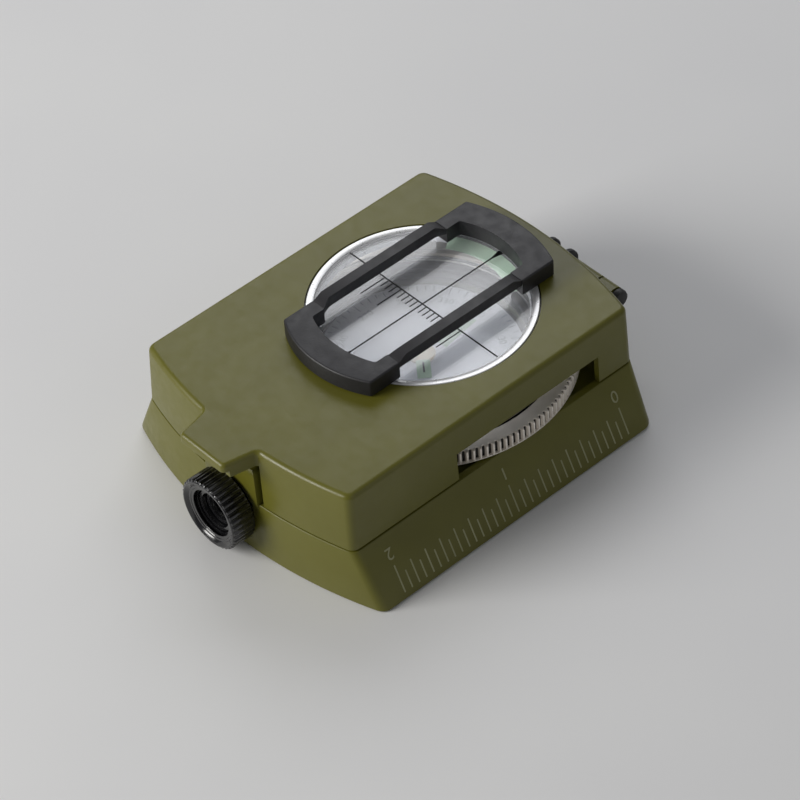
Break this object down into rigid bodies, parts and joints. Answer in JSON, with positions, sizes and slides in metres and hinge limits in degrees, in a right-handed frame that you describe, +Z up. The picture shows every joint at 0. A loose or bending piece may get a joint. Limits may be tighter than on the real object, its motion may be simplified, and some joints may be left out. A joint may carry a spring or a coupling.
{
  "type": "pocket sighting compass",
  "caption": "Closed pocket sighting compass: flared metal base with a ruler face, hinged lid with a round window and a folding sight frame, toothed bezel and a focusing eyepiece.",
  "frame": {"origin": "on the flat underside, directly below the sight line and midway between the lid's end corners", "axes": "+Y is the sighting direction, from the eyepiece to the lid hinge; +X is the ruler side; +Z is up"},
  "size_m": [0.0619, 0.082, 0.0271],
  "materials": {
    "olive_paint": "semi-gloss olive paint on cast metal",
    "black_metal": "gloss black",
    "frame_black": "fine wrinkle black paint",
    "bezel_metal": "machined, warm silver",
    "steel": "turned steel",
    "brass": "turned brass",
    "silver_ring": "bright plated",
    "glass": "clear, polished",
    "clear_plastic": "clear moulded plastic",
    "card_white": "printed pale card",
    "rubber": "black rubber"
  },
  "bodies": {
    "base": {"base_shell": "olive_paint", "bottom_cover": "olive_paint", "bottom_screw_1": "steel", "bottom_screw_2": "steel", "bottom_screw_3": "steel", "bottom_screw_4": "steel", "capsule_cup": "clear_plastic", "capsule_lock_ring": "black_metal", "capsule_diaphragm": "rubber", "capsule_seal": "rubber", "capsule_glass": "glass", "capsule_retaining_ring": "black_metal", "pivot_post": "brass", "lubber_line": "black_metal", "bezel_spring": "steel", "eyepiece_tube": "black_metal", "hinge_pin": "steel", "hinge_spool": "rubber", "hinge_cap_left": "rubber", "hinge_cap_right": "rubber"},
    "card": {"compass_card": "card_white", "jewel_cup": "brass", "card_magnet_left": "steel", "card_magnet_right": "steel"},
    "bezel": {"bezel_ring": "bezel_metal"},
    "focus": {"focus_ring": "black_metal"},
    "lens": {"lens_cell": "black_metal", "eyepiece_lens": "glass", "lens_retainer": "black_metal"},
    "lid": {"lid_shell": "olive_paint", "window_glass": "glass", "window_gasket": "rubber", "window_ring": "silver_ring", "frame_pin": "steel"},
    "sight": {"sight_frame": "frame_black"}
  },
  "joints": [
    {"name": "lid_hinge", "type": "hinge", "parent": "base", "child": "lid", "pos_m": [0, 0.0388, 0.01315], "axis": [-1, 0, 0], "range_deg": [0, 180]},
    {"name": "sight_frame_hinge", "type": "hinge", "parent": "lid", "child": "sight", "pos_m": [0, 0.0289, 0.0245], "axis": [-1, 0, 0], "range_deg": [0, 90]},
    {"name": "bezel_turn", "type": "hinge", "parent": "base", "child": "bezel", "pos_m": [0, 0.007, 0.0125], "axis": [0, 0, 1], "continuous": true},
    {"name": "card_turn", "type": "hinge", "parent": "base", "child": "card", "pos_m": [0, 0.007, 0.0091], "axis": [0, 0, 1], "continuous": true},
    {"name": "focus_turn", "type": "hinge", "parent": "base", "child": "focus", "pos_m": [0, -0.038, 0.00776], "axis": [0, 1, 0], "range_deg": [-360, 360]},
    {"name": "lens_travel", "type": "slide", "parent": "base", "child": "lens", "axis": [0, 1, 0], "range_m": [-0.00075, 0.00075]}
  ],
  "couplings": [
    {"joint": "focus_turn", "follows": "lens_travel", "rad_per_m": 8377.6}
  ]
}
